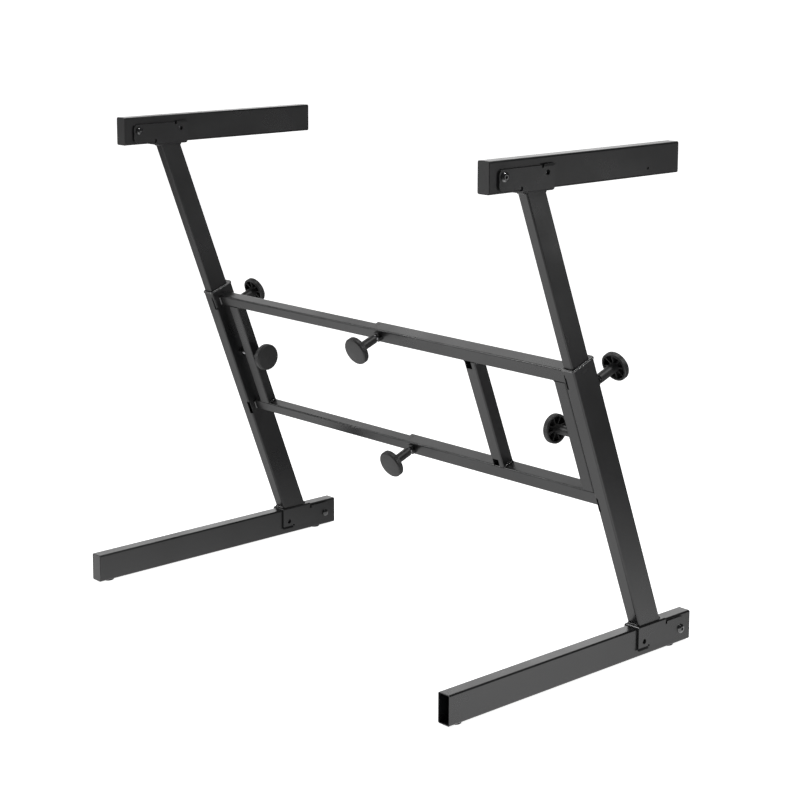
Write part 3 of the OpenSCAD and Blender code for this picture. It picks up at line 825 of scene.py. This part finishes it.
@dataclass
class Studio:
    """Floor, light and the photograph's camera."""

    place: Vector = field(default_factory=lambda: Vector((2.48535, -2.25146, 1.17934)))
    yaw: float = math.radians(47.191)
    pitch: float = math.radians(9.944)
    roll: float = math.radians(0.121)
    lens: float = 89.109
    shift: float = -0.15
    sensor: float = 36.0
    sight: float = 200.0
    floor_half: float = 40.0
    floor_colour: Colour = (0.93, 0.93, 0.93)
    floor_rough: float = 0.9
    floor_specular: float = 0.1
    floor_glow: float = 0.95
    backdrop: float = 1.1
    gloom: float = 0.08

    def camera(self) -> None:
        """Sets the camera at the photograph's place, turn and lens."""
        data = bpy.data.cameras.new("photo_camera")
        data.sensor_width = self.sensor
        data.lens = self.lens
        data.shift_y = self.shift
        data.clip_end = self.sight
        camera = bpy.data.objects.new("photo_camera", data)
        turn = (Matrix.Rotation(self.yaw, 4, "Z")
                @ Matrix.Rotation(math.pi / 2 - self.pitch, 4, "X")
                @ Matrix.Rotation(self.roll, 4, "Z"))
        camera.matrix_world = Matrix.Translation(self.place) @ turn
        bpy.context.scene.collection.objects.link(camera)
        bpy.context.scene.camera = camera

    def mirrored_floor(self, tree: Tree) -> bpy.types.NodeSocket:
        """Adds up the pools of light that gloss on the object mirrors.

        Args:
            tree: the floor material's nodes.

        Returns:
            The glow at each place of the floor.
        """
        place = tree.add("ShaderNodeTexCoord").outputs["Object"]
        total: Any = self.gloom
        for pool in POOLS:
            gap = tree.add("ShaderNodeVectorMath", operation="DISTANCE")
            tree.feed(gap.inputs[0], place)
            gap.inputs[1].default_value = pool.place
            glow = tree.ramp(gap.outputs["Value"], 0.0, pool.reach, pool.glow, 0.0)
            total = tree.math("ADD", total, glow)
        return total

    def floor(self) -> None:
        """Lays the plain white floor, whose far parts gloss sees as dark as the studio was."""
        mesh = bpy.data.meshes.new("floor")
        h = self.floor_half
        corners = [(-h, -h, 0.0), (h, -h, 0.0), (h, h, 0.0), (-h, h, 0.0)]
        mesh.from_pydata(corners, [], [(0, 1, 2, 3)])
        floor = new_object("floor", mesh)
        material = bpy.data.materials.new("pale_floor")
        material.use_nodes = True
        tree = Tree(material.node_tree)
        shader = material.node_tree.nodes["Principled BSDF"]
        shader.inputs["Base Color"].default_value = self.floor_colour + (1.0,)
        shader.inputs["Roughness"].default_value = self.floor_rough
        shader.inputs["Specular IOR Level"].default_value = self.floor_specular
        shader.inputs["Emission Color"].default_value = (1.0, 1.0, 1.0, 1.0)
        shader.inputs["Emission Strength"].default_value = self.floor_glow
        glow = tree.add("ShaderNodeEmission")
        tree.feed(glow.inputs["Strength"], self.mirrored_floor(tree))
        blend = tree.add("ShaderNodeMixShader")
        tree.feed(blend.inputs[0], tree.add("ShaderNodeLightPath").outputs["Is Glossy Ray"])
        tree.feed(blend.inputs[1], shader.outputs["BSDF"])
        tree.feed(blend.inputs[2], glow.outputs["Emission"])
        tree.feed(material.node_tree.nodes["Material Output"].inputs["Surface"], blend.outputs[0])
        mesh.materials.append(material)

    def hang(self, lamp: Lamp) -> None:
        """Hangs one lamp, turned to its aim."""
        data = bpy.data.lights.new(lamp.name, "AREA")
        data.size = lamp.size
        data.energy = lamp.power
        hung = bpy.data.objects.new(lamp.name, data)
        hung.location = lamp.place
        way = Vector(lamp.aim) - Vector(lamp.place)
        hung.rotation_euler = way.to_track_quat("-Z", "Y").to_euler()
        bpy.context.scene.collection.objects.link(hung)

    def glow_of(self, tree: Tree, patch: SkyPatch) -> bpy.types.NodeSocket:
        """Adds one patch of sky.

        Args:
            tree: the world's nodes.
            patch: the patch.

        Returns:
            Its glow in each direction.
        """
        dot = tree.add("ShaderNodeVectorMath", operation="DOT_PRODUCT")
        tree.feed(dot.inputs[0], tree.add("ShaderNodeTexCoord").outputs["Generated"])
        dot.inputs[1].default_value = patch.aim
        return tree.ramp(dot.outputs["Value"], patch.edge, patch.full, 0.0, patch.glow)

    def world(self) -> None:
        """Shows the camera a white backdrop, and all else the studio's dark and bright sides."""
        world = bpy.data.worlds.new("studio")
        bpy.context.scene.world = world
        world.use_nodes = True
        tree = Tree(world.node_tree)
        back = world.node_tree.nodes["Background"]
        sky: Any = self.gloom
        for patch in SKY:
            sky = tree.math("ADD", self.glow_of(tree, patch), sky)
        seen = tree.add("ShaderNodeLightPath").outputs["Is Camera Ray"]
        tree.feed(back.inputs["Strength"], tree.ramp(seen, 0.0, 1.0, sky, self.backdrop))

    def build(self) -> None:
        """Builds camera, floor and light, and shows white as white."""
        bpy.context.scene.view_settings.view_transform = "Standard"
        self.camera()
        self.floor()
        self.world()
        for lamp in LAMPS:
            self.hang(lamp)


@dataclass
class Welds:
    """The rippled seams over the plain beads of the solids.

    Each seam's middle stands off from both faces of its corner, so that it covers the plain bead
    and stays within the walls.
    """

    layout: Layout
    radius: float = 0.0022
    stand_off: float = 0.0013
    end_gap: float = 0.0028
    ripple_pitch: float = 0.0017
    ripple_depth: float = 0.12
    uneven: float = 0.03
    step: float = 0.0004

    def level_seam(self, sign: int, z: float, depth: float, width: float,
                   arc: tuple[float, float]) -> list[Vector]:
        """One seam along X where a leaning tube meets a level sheet.

        Args:
            sign: +1 for the right side, -1 for the left one.
            z: the sheet's height.
            depth: the tube's face, behind the uprights' near faces.
            width: the tube's width.
            arc: the corner's first and last angle in the YZ plane.

        Returns:
            Both ends of the seam.
        """
        y = self.layout
        middle, spread = (arc[0] + arc[1]) / 2, (arc[1] - arc[0]) / 2
        off = self.stand_off / math.sin(spread)
        away = Vector((0.0, off * math.cos(middle), off * math.sin(middle)))
        place = Vector((sign * y.cx, y.lean_y(z, depth), z)) + away
        half = Vector((width / 2 - self.end_gap, 0.0, 0.0))
        return [place - half, place + half]

    def foot_seams(self, sign: int) -> list[list[Vector]]:
        """The two seams where an outer upright stands on its base bracket."""
        y, quarter = self.layout, math.pi / 2
        return [
            self.level_seam(sign, y.z_web, 0.0, y.tube_w, (quarter + y.lean, math.pi)),
            self.level_seam(sign, y.z_web, y.tube_h, y.tube_w, (0.0, quarter + y.lean)),
        ]

    def head_seams(self, sign: int) -> list[list[Vector]]:
        """The two seams where an inner upright meets its top bracket."""
        y, quarter = self.layout, math.pi / 2
        near, far = y.slide_set, y.slide_set + y.slide_h
        return [
            self.level_seam(sign, y.z_under, near, y.slide_w, (math.pi, 3 * quarter + y.lean)),
            self.level_seam(sign, y.z_under, far, y.slide_w, (y.lean - quarter, 0.0)),
        ]

    def bar_seams(self, sign: int) -> list[list[Vector]]:
        """The seams where the two crossbars meet this side's upright."""
        y = self.layout
        side = y.bar_s if sign > 0 else y.rod_s
        near = (y.tube_h - side) / 2
        x = sign * (y.xi - self.stand_off)
        half = side / 2 - self.end_gap
        return [
            [y.leaned(x, depth, up - half), y.leaned(x, depth, up + half)]
            for up in (y.u_bar, y.u_low)
            for depth in (near - self.stand_off, near + side + self.stand_off)
        ]

    def end_seams(self, x: float, side: float, near: float) -> list[list[Vector]]:
        """The seams at both ends of an upright piece between the bars.

        Args:
            x: middle of the piece.
            side: its depth.
            near: half the height of the bars that it stands between.

        Returns:
            Four seams along the piece's sides.
        """
        y = self.layout
        half = side / 2 - self.end_gap
        out = y.bar_s / 2 + self.stand_off
        return [
            [y.leaned(edge, y.tube_h / 2 - half, up), y.leaned(edge, y.tube_h / 2 + half, up)]
            for up in (y.u_low + near + self.stand_off, y.u_bar - near - self.stand_off)
            for edge in (x - out, x + out)
        ]

    def build(self, paints: Paintbox) -> None:
        """Makes one piece of seams for each body."""
        y = self.layout
        tree = make_bead_tree()
        strut = self.end_seams(y.strut_x, y.bar_s, y.bar_s / 2)
        right_post = self.end_seams(y.post_rx, y.bar_s, y.bar_s / 2)
        left_post = self.end_seams(-y.post_lx, y.post_depth_l, y.rod_s / 2)
        rows = {
            Body.RIGHT_FRAME: self.foot_seams(1) + self.bar_seams(1) + strut + right_post,
            Body.LEFT_FRAME: self.foot_seams(-1) + self.bar_seams(-1) + left_post,
            Body.SLIDER_R: self.head_seams(1),
            Body.SLIDER_L: self.head_seams(-1),
        }
        for body, seams in rows.items():
            piece = tree.run("weld_seams_" + body.value, path_mesh("seams", seams), {
                "Radius": self.radius, "Ripple Pitch": self.ripple_pitch,
                "Ripple Depth": self.ripple_depth, "Step": self.step, "Uneven": self.uneven,
                "Material": paints.of(WELD),
            })
            smooth(piece)
            ride(piece, body.value)


@dataclass
class CollarLips:
    """The rounded lips that the mould leaves round the two steps of each collar's rim."""

    layout: Layout
    radius: float = 0.0008
    sink: float = 0.0006
    step: float = 0.0008
    corner_points: int = 5

    def loop(self, sign: int, out: float, up: float) -> list[Vector]:
        """One lip's closed path round the upright.

        Args:
            sign: +1 for the right side, -1 for the left one.
            out: the step's overhang beyond the tube.
            up: the step's place along the upright.

        Returns:
            The points, with the first repeated at the end.
        """
        y = self.layout
        bend = y.tube_r + out - self.sink
        half_w = y.tube_w / 2 - y.tube_r
        half_d = y.tube_h / 2 - y.tube_r
        corners = ((1, 1), (-1, 1), (-1, -1), (1, -1))
        points = []
        for turn, (across, along) in enumerate(corners):
            for i in range(self.corner_points + 1):
                angle = math.pi / 2 * (turn + i / self.corner_points)
                x = sign * y.cx + across * half_w + bend * math.cos(angle)
                depth = y.tube_h / 2 + along * half_d + bend * math.sin(angle)
                points.append(y.leaned(x, depth, up))
        return points + points[:1]

    def build(self, paints: Paintbox) -> None:
        """Makes one piece of two lips for each side."""
        y = self.layout
        tree = make_bead_tree()
        for sign, body in ((1, Body.RIGHT_FRAME), (-1, Body.LEFT_FRAME)):
            loops = [
                self.loop(sign, y.rim_out, y.u_top + y.rim_h / 2 - self.sink),
                self.loop(sign, y.rim_out / 2, y.u_top + y.rim_h - self.sink),
            ]
            # The lips wear the lightened plastic, a painted highlight along the collar's rim.
            piece = tree.run("collar_lips_" + body.value, path_mesh("lips", loops), {
                "Radius": self.radius, "Ripple Depth": 0.0, "Step": self.step, "Uneven": 0.0,
                "Material": paints.of(LIP_PAINTED_HIGHLIGHT),
            })
            smooth(piece)
            ride(piece, body.value)


@dataclass
class SlotShadeWall:
    """A wall of the tube's coat behind the two slots in the right upright's corner, put there as
    painted shade so the slots show black.

    Its start, front and back are distances from the upright's corner.
    """

    layout: Layout
    start: float = 0.0002
    thick: float = 0.0010
    front: float = 0.0007
    back: float = 0.0034
    edge: float = 0.0003
    height: float = 0.0258

    def outline(self) -> list[tuple[float, float]]:
        """The wall's section with chamfered corners, as distances from the upright's corner."""
        x0, x1, e = self.start, self.start + self.thick, self.edge
        return [
            (x0 + e, self.front), (x1 - e, self.front), (x1, self.front + e), (x1, self.back - e),
            (x1 - e, self.back), (x0 + e, self.back), (x0, self.back - e), (x0, self.front + e),
        ]

    def build(self, paints: Paintbox) -> None:
        """Makes the wall at both bars as one piece."""
        y, section = self.layout, self.outline()
        count = len(section)
        points: list[Vector] = []
        faces: list[tuple[int, ...]] = []
        for up in (y.u_bar, y.u_low):
            base = len(points)
            for level in (up - self.height / 2, up + self.height / 2):
                points.extend(y.leaned(y.xi + x, depth, level) for x, depth in section)
            faces.append(tuple(base + i for i in reversed(range(count))))
            faces.append(tuple(base + count + i for i in range(count)))
            for i in range(count):
                j = (i + 1) % count
                faces.append((base + i, base + j, base + count + j, base + count + i))
        # The wall is painted shade: it hides the lit slider so the slots read black.
        mesh = bpy.data.meshes.new("slot_shade_wall")
        mesh.from_pydata(points, [], faces)
        mesh.materials.append(paints.of(TUBE))
        ride(new_object("slot_shade_wall_right", mesh), Body.RIGHT_FRAME.value)


@dataclass
class ClampScrew:
    """One clamp knob's stud, along an axis out of the nut's seat."""

    name: str
    seat: Vector
    out: Vector
    tip: float
    reach: float
    bore: float = 0.0037
    row: float = 0.00025

    def matrix(self) -> Matrix:
        """Turns +Z into the axis and puts zero on the seat."""
        turn = Vector((0.0, 0.0, 1.0)).rotation_difference(self.out).to_matrix().to_4x4()
        return Matrix.Translation(self.seat) @ turn

    def thread(self, tree: PathTree, paints: Paintbox) -> None:
        """Cuts the stud's thread and puts the stud in place of the plain one.

        Args:
            tree: the thread's tree.
            paints: the finished materials.
        """
        top = self.reach + self.bore
        length = top + self.tip
        piece = tree.run("threaded_stud_" + self.name, bpy.data.meshes.new("seed"), {
            "Length": length, "Rows": int(length / self.row), "Material": paints.of(ZINC),
        })
        piece.data.transform(self.matrix() @ Matrix.Translation((0.0, 0.0, top - length / 2)))
        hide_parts("stud_" + self.name)
        ride(piece, "screw_" + self.name)


@dataclass
class Clamps:
    """The six clamp screws."""

    layout: Layout
    tip_gap: float = 0.0003
    reach_bar: float = 0.0487
    reach_back: float = 0.0478
    reach_side_r: float = 0.073
    reach_side_l: float = 0.0675

    def bar_screws(self) -> list[ClampScrew]:
        """The two on the crossbars' near faces."""
        y = self.layout
        near = y.leaned(0.0, 0.0, 0.0) - y.leaned(0.0, 1.0, 0.0)
        face = (y.tube_h - y.bar_s) / 2
        tip = (y.bar_s - y.rod_s) / 2 - self.tip_gap
        x = y.bar_x + y.bar_knob_set
        return [
            ClampScrew("bar_upper", y.leaned(x, face, y.u_bar), near, tip, self.reach_bar),
            ClampScrew("bar_lower", y.leaned(x, face, y.u_low), near, tip, self.reach_bar),
        ]

    def back_screws(self) -> list[ClampScrew]:
        """The two on the uprights' backs."""
        y = self.layout
        far = y.leaned(0.0, 1.0, 0.0) - y.leaned(0.0, 0.0, 0.0)
        tip = y.tube_h - y.slide_set - y.slide_h - self.tip_gap
        up = y.u_top - y.back_drop
        return [
            ClampScrew("back_r", y.leaned(y.cx, y.tube_h, up), far, tip, self.reach_back),
            ClampScrew("back_l", y.leaned(-y.cx, y.tube_h, up), far, tip, self.reach_back),
        ]

    def side_screws(self) -> list[ClampScrew]:
        """The two on the uprights' inner sides."""
        y = self.layout
        right = Vector((1.0, 0.0, 0.0))
        tip = (y.tube_w - y.slide_w) / 2 - self.tip_gap
        middle, up = y.tube_h / 2, y.u_top - y.side_drop
        return [
            ClampScrew("side_r", y.leaned(y.xi, middle, up), -right, tip, self.reach_side_r),
            ClampScrew("side_l", y.leaned(-y.xi, middle, up), right, tip, self.reach_side_l),
        ]

    def build(self, paints: Paintbox) -> None:
        """Makes the threaded studs."""
        tree = make_thread_tree()
        for screw in self.bar_screws() + self.back_screws() + self.side_screws():
            screw.thread(tree, paints)


@dataclass
class Dressing:
    """Finishes of the carried-over CAD nodes."""

    paints: Paintbox

    def finish_of(self, node: str) -> Finish:
        """The finish for a node, from the start of its name."""
        rows: tuple[tuple[tuple[str, ...], Finish], ...] = (
            (("upright_inner", "bar_inner"), SLIDE),
            (("base_bracket", "top_bracket"), SHEET),
            (("upright_outer", "bar_outer", "strut", "post"), TUBE),
            (("arm_r", "arm_l", "leg_r", "leg_l"), TUBE),
            (("knob_nuts",), SHEET),
            (("knob_",), KNOB),
            (("collar", "bar_", "glide", "arm_caps", "leg_plug"), CAP),
            (("leg_feet",), FOOT),
            (("leg_bolt", "arm_bolt", "arm_button", "leg_button"), OXIDE),
        )
        for starts, finish in rows:
            if node.startswith(starts):
                return finish
        return ZINC

    def build(self) -> None:
        """Dresses every node."""
        for node in frame["nodes"]:
            finish = self.finish_of(node)
            self.paints.dress(node, finish)
            LOG.info("%s wears %s", node, finish.name)


def main() -> None:
    """Builds the studio, dresses the solids and adds the scene's own pieces."""
    logging.basicConfig(level=logging.INFO, format="%(message)s")
    layout = Layout()
    Studio().build()
    paints = Paintbox()
    Dressing(paints).build()
    Welds(layout).build(paints)
    CollarLips(layout).build(paints)
    SlotShadeWall(layout).build(paints)
    Clamps(layout).build(paints)


if __name__ == "__main__":
    main()
